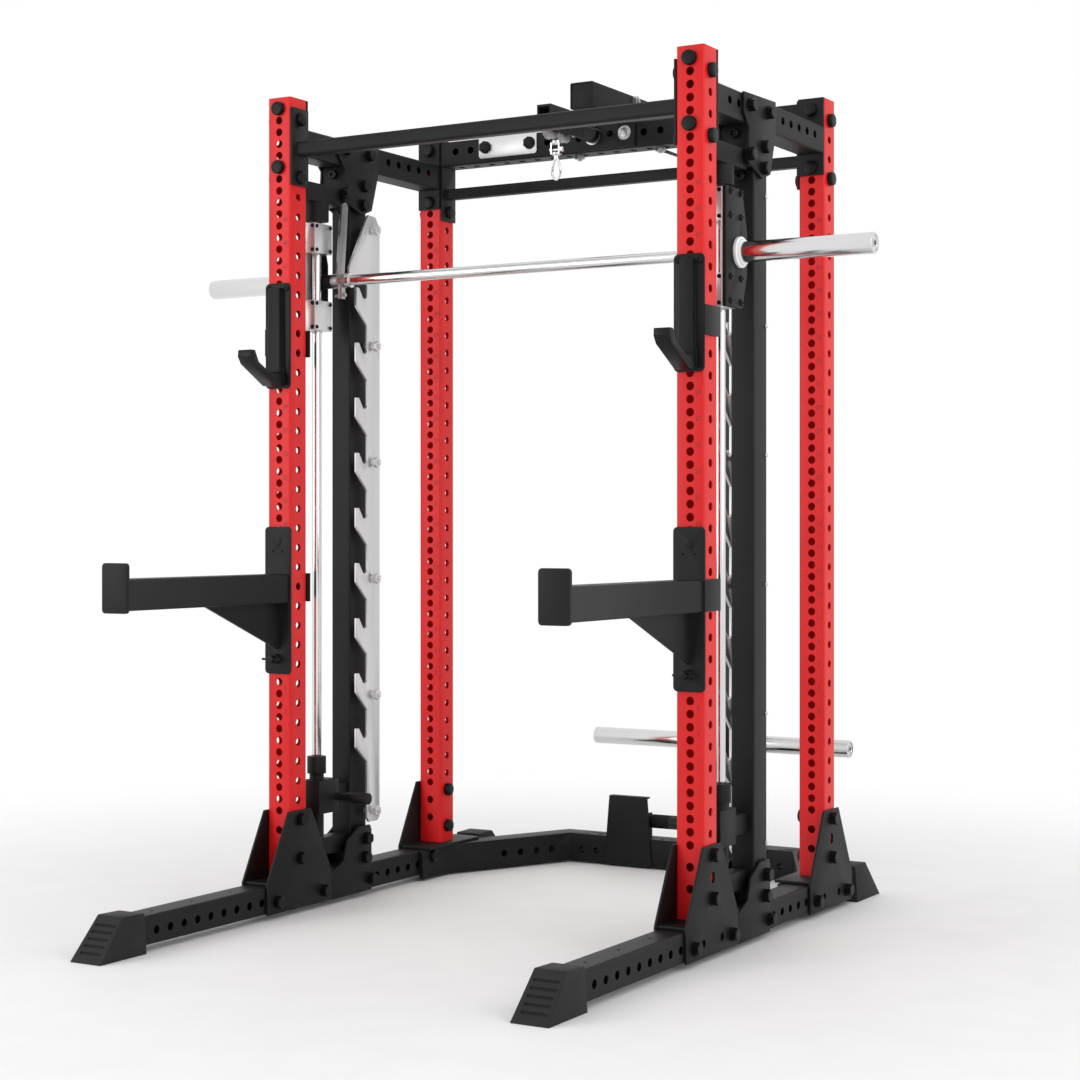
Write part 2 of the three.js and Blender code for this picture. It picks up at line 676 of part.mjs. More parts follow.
function latBeam() {
  const z = [LAT_BEAM_BOTTOM, LAT_BEAM_BOTTOM + TUBE];
  const tube = boxTube("y", [0, (z[0] + z[1]) / 2], [TUBE, TUBE], [LAT_BEAM_FRONT, LAT_BEAM_REAR]);
  const beamFront = UPRIGHT_Y - HALF;
  const saddleZ = [REAR_BEAM_TOP + GAP, LAT_BEAM_BOTTOM + 1];
  const saddle = box([-35, 35], [beamFront - 7, UPRIGHT_Y + HALF], saddleZ);
  const faceZ = [REAR_BEAM_BOTTOM + 3, REAR_BEAM_TOP + 2];
  const facePlate = box([-88, 76], [beamFront - 7, beamFront - GAP], faceZ);
  const headRear = LAT_BEAM_FRONT + 20;
  const headWeb = box([-20, 20], [HEAD_FRONT, headRear], [HEAD_TOP - 6, HEAD_TOP]);
  const riser = box([-20, 20], [headRear - 18, headRear], [HEAD_TOP - 6, LAT_BEAM_BOTTOM + 1]);
  const parts = [tube, saddle, facePlate, headWeb, riser];
  parts.push(...pulleyCheeks([HEAD_FRONT, 130], HEAD_TOP));
  parts.push(...pulleyCheeks([895, 945], LAT_BEAM_BOTTOM + 2));
  parts.push(...[GUIDE_PULLEY_Y, MAIN_PULLEY_Y, TOWER_PULLEY_Y].map(pulleyAxle));
  return cut(join(parts), [cablePassage()]);
}

add("lat_beam", black, latBeam());

function pulley(y) {
  const bore = 6 + GAP;
  const profile = [
    [bore, -8],
    [PULLEY_RIM_R, -8],
    [PULLEY_RIM_R, -6.5],
    [PULLEY_GROOVE_R, -3.2],
    [PULLEY_GROOVE_R, 3.2],
    [PULLEY_RIM_R, 6.5],
    [PULLEY_RIM_R, 8],
    [bore, 8],
    [bore, -8],
  ].map(([radius, along]) => new THREE.Vector2(radius, along));
  const geometry = new THREE.LatheGeometry(profile, 40);
  geometry.rotateZ(Math.PI / 2);
  geometry.translate(0, y, PULLEY_Z);
  return solid(geometry);
}

add("pulley_guide", steel, pulley(GUIDE_PULLEY_Y));
add("pulley_main", steel, pulley(MAIN_PULLEY_Y));
add("pulley_tower", steel, pulley(TOWER_PULLEY_Y));

function latCarriage() {
  const outer = box([-60, 60], [940, 1060], [CARRIAGE_Z0, CARRIAGE_Z1]);
  const bore = box([-37, 37], [MAST_Y - 37, MAST_Y + 37], [CARRIAGE_Z0 - 5, CARRIAGE_Z1 + 5]);
  return cut(outer, [bore]);
}

add("lat_carriage", black, latCarriage());
addPair("loading_sleeve", chrome, cylinder("x", [MAST_Y, SLEEVE_Z], SLEEVE_R, [60 + GAP, SLEEVE_TIP_X], 32));

// ---- lat cable: a fixed run over the pulleys and two hanging drops ----
function cableRun() {
  const points = [];
  for (let step = 0; step <= 10; step += 1) {
    const angle = Math.PI - (Math.PI / 2) * (step / 10);
    points.push([MAIN_PULLEY_Y, angle]);
  }
  for (let step = 0; step <= 10; step += 1) {
    const angle = Math.PI / 2 - (Math.PI / 2) * (step / 10);
    points.push([TOWER_PULLEY_Y, angle]);
  }
  const spots = points.map(
    ([y, angle]) =>
      new THREE.Vector3(0, y + CABLE_WRAP_R * Math.cos(angle), PULLEY_Z + CABLE_WRAP_R * Math.sin(angle))
  );
  const rings = spots.map((spot, index) => {
    const before = spots[Math.max(index - 1, 0)];
    const after = spots[Math.min(index + 1, spots.length - 1)];
    return { spot, along: after.clone().sub(before).normalize() };
  });
  return sweep(rings);
}

// Closed round cord through a list of ring centres in a plane of constant x.
function sweep(rings) {
  const sides = 8;
  const side = new THREE.Vector3(1, 0, 0);
  const positions = [];
  const index = [];
  for (const { spot, along } of rings) {
    const up = new THREE.Vector3().crossVectors(side, along);
    for (let corner = 0; corner < sides; corner += 1) {
      const angle = (corner / sides) * Math.PI * 2;
      const offset = side.clone().multiplyScalar(CABLE_R * Math.cos(angle));
      offset.addScaledVector(up, CABLE_R * Math.sin(angle));
      positions.push(...spot.clone().add(offset).toArray());
    }
  }
  for (let ring = 0; ring + 1 < rings.length; ring += 1) {
    for (let corner = 0; corner < sides; corner += 1) {
      const a = ring * sides + corner;
      const b = ring * sides + ((corner + 1) % sides);
      index.push(a, b + sides, b, a, a + sides, b + sides);
    }
  }
  const last = (rings.length - 1) * sides;
  for (let corner = 1; corner + 1 < sides; corner += 1) {
    index.push(0, corner, corner + 1);
    index.push(last, last + corner + 1, last + corner);
  }
  const geometry = new THREE.BufferGeometry();
  geometry.setAttribute("position", new THREE.Float32BufferAttribute(positions, 3));
  geometry.setIndex(index);
  return solid(geometry);
}

add("lat_cable_run", cableBlack, cableRun());
function cableDrop(y, lowEnd) {
  return cylinder("z", [0, y], CABLE_R, [lowEnd + GAP, PULLEY_Z - GAP], 12);
}

add("lat_cable_front_drop", cableBlack, cableDrop(LAT_DROP_Y, SNAP_HOOK_TOP));
add("lat_cable_rear_drop", cableBlack, cableDrop(TOWER_DROP_Y, CARRIAGE_Z1));

// Snap hook: a long oval ring below the stopper.
function snapHook() {
  const outer = roundedRect(new THREE.Shape(), 0, 1921, 26, 62, 12.5);
  outer.holes.push(roundedRect(new THREE.Path(), 0, 1921, 15, 50, 7.2));
  const ring = extrude("y", outer, [LAT_DROP_Y - 3, LAT_DROP_Y + 3], 8);
  const stopper = cylinder("z", [0, LAT_DROP_Y], 11, [1966, SNAP_HOOK_TOP], 20);
  const swivel = cylinder("z", [0, LAT_DROP_Y], 5, [1950, 1967], 12);
  return join([ring, stopper, swivel]);
}

add("lat_snap_hook", chrome, snapHook());

// ---- blank plate on the rear beam ----
const PLATE_FACE = UPRIGHT_Y - HALF - GAP;
const nameShape = roundedRect(new THREE.Shape(), -326, 2057, 188, 60, 9);
add("blank_name_plate", steel, extrude("y", nameShape, [PLATE_FACE - 4, PLATE_FACE]));

export default group;
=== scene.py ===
"""Power cage in a pale studio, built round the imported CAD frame. Blender 4.5, metres, +Z up."""
import json
import math
import bmesh
import bpy
from mathutils import Matrix, Vector

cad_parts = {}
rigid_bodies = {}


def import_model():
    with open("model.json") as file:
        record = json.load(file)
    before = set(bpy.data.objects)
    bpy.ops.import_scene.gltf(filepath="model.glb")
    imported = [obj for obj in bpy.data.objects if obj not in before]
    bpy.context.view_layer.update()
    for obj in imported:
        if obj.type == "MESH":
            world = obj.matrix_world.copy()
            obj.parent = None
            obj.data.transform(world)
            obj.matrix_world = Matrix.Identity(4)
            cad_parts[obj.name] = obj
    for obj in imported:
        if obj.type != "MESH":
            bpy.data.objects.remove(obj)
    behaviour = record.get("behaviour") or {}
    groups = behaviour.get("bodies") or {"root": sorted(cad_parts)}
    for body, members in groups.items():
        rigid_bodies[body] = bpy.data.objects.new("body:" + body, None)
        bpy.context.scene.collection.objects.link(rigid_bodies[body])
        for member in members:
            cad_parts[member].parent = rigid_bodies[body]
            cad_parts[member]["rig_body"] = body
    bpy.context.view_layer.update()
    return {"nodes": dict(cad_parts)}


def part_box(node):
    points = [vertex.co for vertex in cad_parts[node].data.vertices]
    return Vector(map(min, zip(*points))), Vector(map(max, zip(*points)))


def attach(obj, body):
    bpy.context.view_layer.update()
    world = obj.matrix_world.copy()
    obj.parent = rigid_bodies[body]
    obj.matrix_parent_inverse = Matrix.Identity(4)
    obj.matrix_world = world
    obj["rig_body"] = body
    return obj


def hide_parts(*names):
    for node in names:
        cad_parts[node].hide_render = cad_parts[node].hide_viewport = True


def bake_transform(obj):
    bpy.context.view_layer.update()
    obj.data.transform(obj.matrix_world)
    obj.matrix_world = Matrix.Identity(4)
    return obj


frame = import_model()

# ---- driving dimensions, in millimetres in the plan frame unless said ----
MM = 0.001
PLAN_SHIFT_Y = 25
HALF_TUBE = 35
WALL = 3
PLATE = 6
GAP = 0.3
UPRIGHT_X = 586
UPRIGHT_Y = 352.5
PLATE_OUTSIDE = UPRIGHT_X + HALF_TUBE + GAP + PLATE
PLATE_INSIDE = UPRIGHT_X - HALF_TUBE - GAP - PLATE
TUBE_OUTSIDE = UPRIGHT_X + HALF_TUBE
TUBE_INSIDE = UPRIGHT_X - HALF_TUBE
FRONT_HOLE_TOP = 2035
FRONT_HOLE_PITCH = 30
FRONT_HOLE_COUNT = 60
FRONT_HOLE_R = 10.2
LOW_FRONT_HOLES = (215, 165)
PEG_HOLES = (15, 36, 46)
SIDE_HOLE_TOP = 1989.5
SIDE_HOLE_PITCH = 50
SIDE_HOLE_COUNT = 35
SIDE_HOLE_R = 10
NUMBER_FIRST_Z = 459
NUMBER_LAST = 45
NUMBER_HEIGHT = 16
NUMBER_OFFSET_X = 21
RAIL_HOLE_Z = 48
BEAM_HOLE_Z = 1990
BAR_Y = -190
BAR_Z = 1640
BAR_R = 14
BAR_HALF = 957.5
SLEEVE_START = 632.3
SLEEVE_R = 25
ROD_Y = -226
MAST_Y = 1000
LAT_SLEEVE_Z = 350
LAT_SLEEVE_START = 60.3
LAT_SLEEVE_TIP = 417
REAR_BEAM_Z = (2015, 2085)
REAR_BEAM_HOLE_Z = 2055
NAME_PLATE_X = -326
NAME_PLATE_Z = 2057
SADDLE_FRONT_Y = -393.8
STUD_Y = -44
STUD_HEIGHTS = (1790, 1478, 1166, 854, 542, 230)
SIDES = (("right", 1), ("left", -1))


def at(x, y, z):
    """A plan point in millimetres as a row-frame point in metres."""
    return Vector((x, y + PLAN_SHIFT_Y, z)) * MM


# ---- camera and studio ----
CAMERA_PLACE = (2.730, -4.712, 0.9945)
CAMERA_YAW = 30.41
CAMERA_LENS = 70.55
CAMERA_SENSOR = 36
CAMERA_SHIFT = (0.004, -0.0128)
FLOOR_HALF = 60
FLOOR_DROP = 0.0005


def make_camera():
    data = bpy.data.cameras.new("camera")
    data.sensor_width = CAMERA_SENSOR
    data.lens = CAMERA_LENS
    data.shift_x, data.shift_y = CAMERA_SHIFT
    data.clip_end = 200
    camera = bpy.data.objects.new("camera", data)
    camera.location = CAMERA_PLACE
    camera.rotation_euler = (math.radians(90), 0, math.radians(CAMERA_YAW))
    bpy.context.scene.collection.objects.link(camera)
    bpy.context.scene.camera = camera


def make_softbox(name, place, target, size, power):
    data = bpy.data.lights.new(name, "AREA")
    data.shape = "RECTANGLE"
    data.size, data.size_y = size
    data.energy = power
    light = bpy.data.objects.new(name, data)
    light.location = place
    aim = Vector(target) - Vector(place)
    light.rotation_euler = aim.to_track_quat("-Z", "Y").to_euler()
    bpy.context.scene.collection.objects.link(light)


def make_floor():
    mesh = bpy.data.meshes.new("studio_floor")
    half = FLOOR_HALF
    corners = [(-half, -half, 0), (half, -half, 0), (half, half, 0), (-half, half, 0)]
    mesh.from_pydata(corners, [], [(0, 1, 2, 3)])
    floor = bpy.data.objects.new("studio_floor", mesh)
    floor.location.z = -FLOOR_DROP
    bpy.context.scene.collection.objects.link(floor)
    material = surface("studio_white", (0.80, 0.82), (0.60, 0.70), grain=40, bump=0.01, specular=0.2)
    fade_to_white(material)
    mesh.materials.append(material)


def fade_to_white(material, near=1.1, far=3.2):
    """Turns the floor into plain white light with distance, so that it meets the backdrop without a line."""
    nodes = material.node_tree.nodes
    links = material.node_tree.links
    place = nodes.new("ShaderNodeTexCoord")
    length = nodes.new("ShaderNodeVectorMath")
    length.operation = "LENGTH"
    links.new(place.outputs["Object"], length.inputs[0])
    fade = nodes.new("ShaderNodeMapRange")
    fade.interpolation_type = "SMOOTHSTEP"
    fade.inputs["From Min"].default_value = near
    fade.inputs["From Max"].default_value = far
    links.new(length.outputs["Value"], fade.inputs["Value"])
    glow = nodes.new("ShaderNodeEmission")
    glow.inputs["Color"].default_value = (1, 1, 1, 1)
    glow.inputs["Strength"].default_value = 1.0
    blend = nodes.new("ShaderNodeMixShader")
    links.new(fade.outputs["Result"], blend.inputs["Fac"])
    links.new(nodes["Principled BSDF"].outputs["BSDF"], blend.inputs[1])
    links.new(glow.outputs["Emission"], blend.inputs[2])
    links.new(blend.outputs["Shader"], nodes["Material Output"].inputs["Surface"])


def make_world():
    world = bpy.data.worlds.new("studio")
    bpy.context.scene.world = world
    world.use_nodes = True
    background = world.node_tree.nodes["Background"]
    background.inputs["Color"].default_value = (1, 1, 1, 1)
    background.inputs["Strength"].default_value = 1.0
    bpy.context.scene.view_settings.view_transform = "Standard"


# ---- materials: two close colours, a roughness range and a fine bump from noise ----
def grey(value):
    return (value, value, value, 1)


def colour(value):
    return grey(value) if isinstance(value, float) else (*value, 1)


def surface(name, tones, roughness, metallic=0.0, grain=900.0, bump=0.05, stretch=(1, 1, 1), specular=0.5):
    """tones and roughness are ranges that noise moves between; grain is the bump's noise scale per metre."""
    material = bpy.data.materials.new(name)
    material.use_nodes = True
    nodes = material.node_tree.nodes
    links = material.node_tree.links
    shader = nodes["Principled BSDF"]
    shader.inputs["Metallic"].default_value = metallic
    shader.inputs["Specular IOR Level"].default_value = specular
    place = nodes.new("ShaderNodeTexCoord")
    mapping = nodes.new("ShaderNodeMapping")
    mapping.inputs["Scale"].default_value = stretch
    links.new(place.outputs["Object"], mapping.inputs["Vector"])
    cloud = nodes.new("ShaderNodeTexNoise")
    cloud.inputs["Scale"].default_value = 7
    cloud.inputs["Detail"].default_value = 4
    links.new(mapping.outputs["Vector"], cloud.inputs["Vector"])
    ramp = nodes.new("ShaderNodeValToRGB")
    ramp.color_ramp.elements[0].position = 0.35
    ramp.color_ramp.elements[1].position = 0.65
    ramp.color_ramp.elements[0].color = colour(tones[0])
    ramp.color_ramp.elements[1].color = colour(tones[1])
    links.new(cloud.outputs["Fac"], ramp.inputs["Fac"])
    links.new(ramp.outputs["Color"], shader.inputs["Base Color"])
    fine = nodes.new("ShaderNodeTexNoise")
    fine.inputs["Scale"].default_value = grain
    fine.inputs["Detail"].default_value = 3
    links.new(mapping.outputs["Vector"], fine.inputs["Vector"])
    spread = nodes.new("ShaderNodeMapRange")
    spread.inputs["To Min"].default_value = roughness[0]
    spread.inputs["To Max"].default_value = roughness[1]
    links.new(fine.outputs["Fac"], spread.inputs["Value"])
    links.new(spread.outputs["Result"], shader.inputs["Roughness"])
    relief = nodes.new("ShaderNodeBump")
    relief.inputs["Strength"].default_value = bump
    relief.inputs["Distance"].default_value = 0.0005
    links.new(fine.outputs["Fac"], relief.inputs["Height"])
    links.new(relief.outputs["Normal"], shader.inputs["Normal"])
    return material


def make_materials():
    return {
        "red_paint": surface(
            "red_powder_coat",
            ((0.63, 0.009, 0.010), (0.67, 0.012, 0.013)),
            (0.30, 0.40),
            grain=700,
            bump=0.06,
            specular=0.26,
        ),
        "black_paint": surface(
            "black_powder_coat", (0.0045, 0.0065), (0.42, 0.58), grain=1100, bump=0.14, specular=0.24
        ),
        "black_bolt": surface(
            "black_oxide", (0.0025, 0.0045), (0.34, 0.46), grain=500, bump=0.05, specular=0.22
        ),
        "chrome": surface(
            "polished_chrome",
            (0.62, 0.72),
            (0.10, 0.20),
            metallic=1.0,
            grain=260,
            bump=0.015,
            stretch=(0.25, 1, 1),
        ),
        "rod_chrome": surface(
            "drawn_chrome",
            (0.66, 0.76),
            (0.10, 0.20),
            metallic=1.0,
            grain=260,
            bump=0.015,
            stretch=(1, 1, 0.1),
        ),
        "plated_steel": surface(
            "bright_zinc",
            (0.62, 0.69),
            (0.30, 0.42),
            metallic=0.75,
            grain=420,
            bump=0.05,
            stretch=(1, 1, 0.15),
        ),
        "dark_steel": surface(
            "dark_zinc", (0.34, 0.42), (0.24, 0.36), metallic=0.9, grain=380, bump=0.03, stretch=(1, 1, 0.2)
        ),
        "rubber": surface(
            "moulded_rubber", (0.0100, 0.0150), (0.58, 0.74), grain=800, bump=0.22, specular=0.30
        ),
        "foam": surface(
            "foam_grip", (0.0090, 0.0130), (0.78, 0.92), grain=1400, bump=0.45, specular=0.25
        ),
        "white_plastic": surface("white_nylon", (0.78, 0.84), (0.32, 0.44), grain=300, bump=0.04),
        "cable_sheath": surface(
            "cable_sheath", (0.0120, 0.0180), (0.38, 0.50), grain=900, bump=0.20, stretch=(1, 1, 0.3)
        ),
        "ink": surface(
            "number_ink",
            ((0.16, 0.006, 0.006), (0.22, 0.010, 0.010)),
            (0.45, 0.60),
            grain=900,
            bump=0.05,
        ),
    }


# ---- mesh tools ----
def facing(place, normal):
    """A matrix that stands a shape drawn along +Z on place, pointing along normal."""
    return Matrix.Translation(place) @ Vector(normal).to_track_quat("Z", "Y").to_matrix().to_4x4()


def turned(bm, rings, place, segments=24, stretch=0):
    """A closed turned solid. A ring is (radius, height) in mm, or (half width across flats, height, "hex").
    With a stretch its two halves are drawn apart along local Y, which makes a slot shape."""
    loops = []
    for radius, height, *shape in rings:
        loop = []
        for step in range(segments):
            angle = 2 * math.pi * step / segments
            reach = radius
            if shape:
                reach = radius / math.cos((angle + math.pi / 6) % (math.pi / 3) - math.pi / 6)
            apart = stretch if step < segments / 2 else -stretch
            point = Vector((reach * math.cos(angle), reach * math.sin(angle) + apart, height)) * MM
            loop.append(bm.verts.new(place @ point))
        loops.append(loop)
    for low, high in zip(loops, loops[1:]):
        for step in range(segments):
            after = (step + 1) % segments
            bm.faces.new((low[step], low[after], high[after], high[step]))
    bm.faces.new(loops[0][::-1])
    bm.faces.new(loops[-1])


def block(bm, low, high):
    """A box between two row-frame corners."""
    middle = (low + high) / 2
    size = high - low
    matrix = Matrix.Translation(middle) @ Matrix.Diagonal((*size, 1))
    bmesh.ops.create_cube(bm, size=1, matrix=matrix)


def soften(bm, width, sharpest=35):
    """Rounds every edge sharper than the given angle."""
    if width <= 0:
        return
    limit = math.radians(sharpest)
    sharp = [edge for edge in bm.edges if edge.is_manifold and edge.calc_face_angle() > limit]
    bmesh.ops.bevel(
        bm, geom=sharp, offset=width * MM, segments=2, profile=0.5, affect="EDGES", clamp_overlap=True
    )


def finish_piece(name, bm, material, body, smooth=38):
    """Turns a bmesh into a shown piece, riding on a CAD body if one is given."""
    bmesh.ops.recalc_face_normals(bm, faces=bm.faces)
    mesh = bpy.data.meshes.new(name)
    bm.to_mesh(mesh)
    bm.free()
    mesh.shade_smooth()
    mesh.set_sharp_from_angle(angle=math.radians(smooth))
    piece = bpy.data.objects.new(name, mesh)
    bpy.context.scene.collection.objects.link(piece)
    mesh.materials.append(material)
    if body:
        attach(piece, body)
    return piece


def cad_copy(node):
    """A welded bmesh of a CAD node with its flat faces whole again."""
    bm = bmesh.new()
    bm.from_mesh(frame["nodes"][node].data)
    bmesh.ops.remove_doubles(bm, verts=bm.verts, dist=2e-6)
    bmesh.ops.dissolve_limit(bm, angle_limit=math.radians(0.3), verts=bm.verts, edges=bm.edges)
    return bm


def drilled(bm, cutter):
    """bm with the closed solids in cutter taken away."""
    objects = []
    for name, part in (("drilled_body", bm), ("drill", cutter)):
        bmesh.ops.recalc_face_normals(part, faces=part.faces)
        mesh = bpy.data.meshes.new(name)
        part.to_mesh(mesh)
        part.free()
        holder = bpy.data.objects.new(name, mesh)
        bpy.context.scene.collection.objects.link(holder)
        objects.append(holder)
    body, tool = objects
    cut = body.modifiers.new("holes", "BOOLEAN")
    cut.operation = "DIFFERENCE"
    cut.solver = "MANIFOLD"
    cut.object = tool
    result = bmesh.new()
    result.from_object(body, bpy.context.evaluated_depsgraph_get())
    for holder in objects:
        mesh = holder.data
        bpy.data.objects.remove(holder)
        bpy.data.meshes.remove(mesh)
    return result


def hole(cutter, place, normal, radius, depth):
    """A round cutter from just outside place, going in against normal."""
    turned(cutter, [(radius, -depth), (radius, 2)], facing(place, normal), 20)


# ---- hole patterns: places in plan millimetres, and each run as (first, count) at the side pitch ----
THROUGH = 2 * HALF_TUBE + 2
WALL_DEPTH = WALL + 2
RAIL_TOP = 86
RAIL_HOLE_RUNS = ((-904, 9), (2.5, 5))
RAIL_SCREW_Y = (-881, -734, -586)
RAIL_SCREW_R = 4.5
SIDE_BEAM_HOLE_Y = (-248, -198, 57, 107, 157, 207, 257)
REAR_BEAM_HOLE_STEPS = 10
REAR_BASE_FRONT_HOLE_X = (318, 270)
REAR_BASE_FRONT_HOLE_Z = 40
REAR_BASE_TOP_HOLE_X = (311, 265, 61, 29)
REAR_BASE_TOP_HOLE_R = 6
REAR_BASE_BEAM_Y = (725, 745)
SPLAY_START = (538.7, 345)
SPLAY_END = (356, 725)
SPLAY_HOLE_Y = (514, 565, 615, 664)
SPLAY_HOLE_Z = 45
BRACKET_SLOT_Z = 190
BRACKET_SLOT_R = 9.5
BRACKET_LOW_HOLE_Z = 46
BRACKET_LOW_HOLE_OFFSETS = (-48, 49)
ARM_SCREW_HOLE = (15, 930, 2.5)


def upright_holes(side, y, is_front):
    cutter = bmesh.new()
    x = side * UPRIGHT_X
    rows = [i for i in range(FRONT_HOLE_COUNT) if not (is_front and i in PEG_HOLES)]
    for z in [FRONT_HOLE_TOP - FRONT_HOLE_PITCH * i for i in rows] + list(LOW_FRONT_HOLES):
        hole(cutter, at(x, y - HALF_TUBE, z), (0, -1, 0), FRONT_HOLE_R, WALL_DEPTH)
    for i in range(SIDE_HOLE_COUNT):
        z = SIDE_HOLE_TOP - SIDE_HOLE_PITCH * i
        hole(cutter, at(x, y + HALF_TUBE, z), (0, 1, 0), SIDE_HOLE_R, WALL_DEPTH)
        hole(cutter, at(x + HALF_TUBE, y, z), (1, 0, 0), SIDE_HOLE_R, THROUGH)
    return cutter


def rail_holes(side):
    cutter = bmesh.new()
    right_face = side * UPRIGHT_X + HALF_TUBE
    for first, count in RAIL_HOLE_RUNS:
        for i in range(count):
            place = at(right_face, first + SIDE_HOLE_PITCH * i, RAIL_HOLE_Z)
            hole(cutter, place, (1, 0, 0), SIDE_HOLE_R, THROUGH)
    for y in RAIL_SCREW_Y:
        hole(cutter, at(side * UPRIGHT_X, y, RAIL_TOP), (0, 0, 1), RAIL_SCREW_R, WALL_DEPTH)
    return cutter


def side_beam_holes(side):
    cutter = bmesh.new()
    right_face = side * UPRIGHT_X + HALF_TUBE
    for y in SIDE_BEAM_HOLE_Y:
        hole(cutter, at(right_face, y, BEAM_HOLE_Z), (1, 0, 0), SIDE_HOLE_R, THROUGH)
    return cutter


def rear_beam_holes():
    """A row under the beam, and one in its front face that leaves out the middle three."""
    cutter = bmesh.new()
    front = UPRIGHT_Y - HALF_TUBE
    for step in range(-REAR_BEAM_HOLE_STEPS, REAR_BEAM_HOLE_STEPS + 1):
        x = SIDE_HOLE_PITCH * step
        hole(cutter, at(x, UPRIGHT_Y, REAR_BEAM_Z[0]), (0, 0, -1), SIDE_HOLE_R, WALL_DEPTH)
        if step not in (-1, 0, 1):
            hole(cutter, at(x, front, REAR_BEAM_HOLE_Z), (0, -1, 0), SIDE_HOLE_R, WALL_DEPTH)
    return cutter


def rear_base_holes():
    """Holes in the cross beam's front face and top, and a row through each splayed side tube."""
    cutter = bmesh.new()
    beam_front, beam_middle = REAR_BASE_BEAM_Y
    for _, side in SIDES:
        for x in REAR_BASE_FRONT_HOLE_X:
            hole(cutter, at(side * x, beam_front, REAR_BASE_FRONT_HOLE_Z), (0, -1, 0), SIDE_HOLE_R, 75)
        for x in REAR_BASE_TOP_HOLE_X:
            hole(cutter, at(side * x, beam_middle, RAIL_TOP), (0, 0, 1), REAR_BASE_TOP_HOLE_R, 12)
        start = Vector((side * SPLAY_START[0], SPLAY_START[1], SPLAY_HOLE_Z))
        end = Vector((side * SPLAY_END[0], SPLAY_END[1], SPLAY_HOLE_Z))
        along = (end - start).normalized()
        inward = Vector((-side * along.y, side * along.x, 0))
        for y in SPLAY_HOLE_Y:
            point = start.lerp(end, (y - start.y) / (end.y - start.y))
            hole(cutter, at(*point), inward, SIDE_HOLE_R, 150)
    return cutter


def base_bracket_holes(side, y):
    """A slot between the two bolts and two holes low down, through the outer plate."""
    cutter = bmesh.new()
    face = side * PLATE_OUTSIDE
    out = (side, 0, 0)
    slot = [(BRACKET_SLOT_R, -8), (BRACKET_SLOT_R, 2)]
    turned(cutter, slot, facing(at(face, y, BRACKET_SLOT_Z), out), stretch=4)
    for offset in BRACKET_LOW_HOLE_OFFSETS:
        hole(cutter, at(face, y + offset, BRACKET_LOW_HOLE_Z), out, SIDE_HOLE_R, 8)
    return cutter


def spotter_plate_holes(side):
    """Two small holes in the front plate of a spotter arm."""
    cutter = bmesh.new()
    half, z, radius = ARM_SCREW_HOLE
    for x in (-half, half):
        hole(cutter, at(side * UPRIGHT_X + x, SADDLE_FRONT_Y, z), (0, -1, 0), radius, 9)
    return cutter


# ---- CAD nodes shown with softened edges and their drilled holes ----
LOOKS = {
    "upright_front": ("red_paint", 0.0),
    "upright_rear": ("red_paint", 0.0),
    "base_rail": ("black_paint", 0.0),
    "foot": ("rubber", 2.0),
    "upright_base": ("black_paint", 1.2),
    "side_beam": ("black_paint", 0.8),
    "pull_up_bar": ("black_paint", 1.0),
    "rear_cross_frame": ("black_paint", 0.8),
    "smith_top_bracket": ("black_paint", 1.2),
    "smith_column": ("black_paint", 0.8),
    "smith_base_bracket": ("black_paint", 1.2),
    "rod_foot_holder": ("black_paint", 1.0),
    "guide_rod": ("rod_chrome", 1.0),
    "bearing_blocks": ("plated_steel", 1.0),
    "carriage_plate": ("black_paint", 1.2),
    "bar_collar": ("white_plastic", 1.5),
    "bar_hook": ("dark_steel", 1.2),
    "catch_plate": ("plated_steel", 0.7),
    "j_cup": ("black_bolt", 2.2),
    "spotter_arm": ("black_paint", 1.5),
    "spotter_pin": ("black_bolt", 0.8),
    "rear_base": ("black_paint", 1.2),
    "base_roller": ("foam", 3.0),
    "tower_mast": ("black_paint", 0.8),
    "lat_beam": ("black_paint", 0.8),
    "pulley": ("dark_steel", 0.5),
    "lat_carriage": ("black_paint", 2.0),
    "lat_cable_run": ("cable_sheath", 0.0),
    "blank_name_plate": ("plated_steel", 1.0),
}


def node_holes():
    """The cutter for each CAD node that is drilled."""
    found = {"rear_cross_frame": rear_beam_holes(), "rear_base": rear_base_holes()}
    for word, side in SIDES:
        found[f"upright_front_{word}"] = upright_holes(side, -UPRIGHT_Y, True)
        found[f"upright_rear_{word}"] = upright_holes(side, UPRIGHT_Y, False)
        found[f"base_rail_{word}"] = rail_holes(side)
        found[f"side_beam_{word}"] = side_beam_holes(side)
        found[f"upright_base_front_{word}"] = base_bracket_holes(side, -UPRIGHT_Y)
        found[f"upright_base_rear_{word}"] = base_bracket_holes(side, UPRIGHT_Y)
        found[f"spotter_arm_{word}"] = spotter_plate_holes(side)
    return found


# Plate corners, as (half width across the upright, heights, radius).
ROUNDED = {
    "j_cup": [(39, (1347, 1617), 12)],
    "spotter_arm": [(40, (616, 993), 11), (37, (792, 909), 9)],
}


def corners_of(node):
    """The (x, z, radius) corners of a node's front plates, in plan millimetres."""
    side = -1 if node.endswith("left") else 1
    found = []
    for key, plates in ROUNDED.items():
        if node.startswith(key):
            for half, heights, radius in plates:
                found += [(side * UPRIGHT_X + x, z, radius) for x in (-half, half) for z in heights]
    return found


def round_corners(bm, corners):
    """Rounds the edges that run along Y through the given corners."""
    for x, z, radius in corners:
        spot = at(x, 0, z)
        edges = []
        for edge in bm.edges:
            ends = [vert.co for vert in edge.verts]
            if all(abs(co.x - spot.x) < 0.001 and abs(co.z - spot.z) < 0.001 for co in ends):
                edges.append(edge)
        bmesh.ops.bevel(bm, geom=edges, offset=radius * MM, segments=6, profile=0.5, affect="EDGES")


